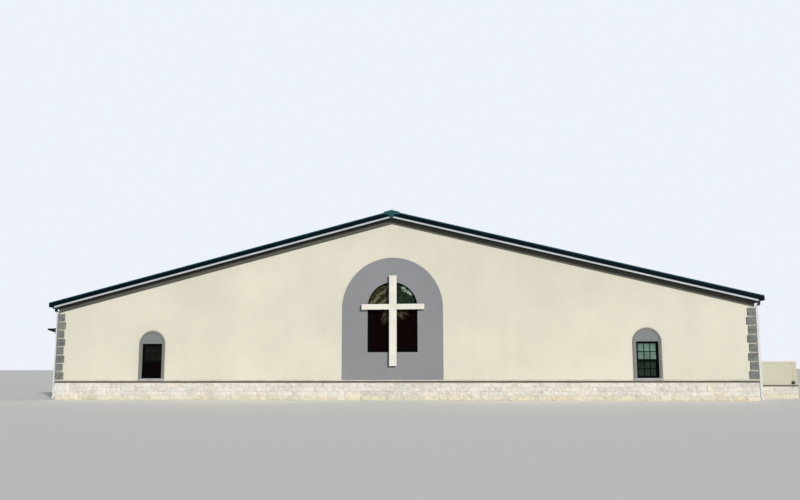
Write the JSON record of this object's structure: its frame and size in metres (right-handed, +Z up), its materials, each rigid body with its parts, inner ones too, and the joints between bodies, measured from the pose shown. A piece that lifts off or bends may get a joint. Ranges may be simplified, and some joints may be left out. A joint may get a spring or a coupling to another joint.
{
  "type": "church building",
  "caption": "Wide single-storey church hall with a low metal gable roof, rendered walls on a stone base, and a tall cross before its arched front window.",
  "frame": {"origin": "middle of the floor slab's underside, at ground level", "axes": "+Z up, -Y out of the front gable, +Y along the ridge, +X to the right of someone who faces the front"},
  "size_m": [33.7281, 37.3252, 8.4053],
  "materials": {
    "concrete": "smooth floated concrete",
    "stone": "rough split-faced pale stone",
    "ledge": "dark cast stone",
    "stucco": "fine sanded render, matte",
    "grey_stucco": "fine sanded render, matte",
    "black_metal": "satin black",
    "dark_glass": "tinted, reflective",
    "white_paint": "satin white",
    "green_metal": "satin dark green",
    "teal_metal": "satin teal green",
    "white_metal": "satin white",
    "taupe_board": "matte grey-brown"
  },
  "bodies": {
    "root": {"floor_slab": "concrete", "front_base": "stone", "rear_base": "stone", "left_base": "stone", "right_base": "stone", "yard_base": "stone", "stone_ledge": "ledge", "yard_ledge": "ledge", "front_wall": "stucco", "rear_wall": "stucco", "left_wall": "stucco", "right_wall": "stucco", "yard_wall": "stucco", "front_arch_panel": "grey_stucco", "left_window_surround": "grey_stucco", "right_window_surround": "grey_stucco", "front_left_quoins": "grey_stucco", "front_right_quoins": "grey_stucco", "rear_left_quoins": "grey_stucco", "rear_right_quoins": "grey_stucco", "centre_window_frame": "black_metal", "left_window_frame": "black_metal", "right_window_frame": "black_metal", "rear_left_window": "black_metal", "rear_right_window": "black_metal", "entrance_frame": "black_metal", "entrance_doors": "black_metal", "floodlight": "black_metal", "centre_window_glass": "dark_glass", "left_window_glass": "dark_glass", "right_window_glass": "dark_glass", "left_side_glass": "dark_glass", "right_side_glass": "dark_glass", "cross": "white_paint", "roof_left": "green_metal", "roof_right": "green_metal", "left_gutter": "green_metal", "right_gutter": "green_metal", "front_rake_trim": "green_metal", "rear_rake_trim": "green_metal", "ridge_cap": "teal_metal", "front_rake_fascia": "white_metal", "rear_rake_fascia": "white_metal", "front_left_downspout": "white_metal", "front_right_downspout": "white_metal", "rear_left_downspout": "white_metal", "rear_right_downspout": "white_metal", "front_frieze": "taupe_board", "rear_frieze": "taupe_board"}
  },
  "joints": []
}
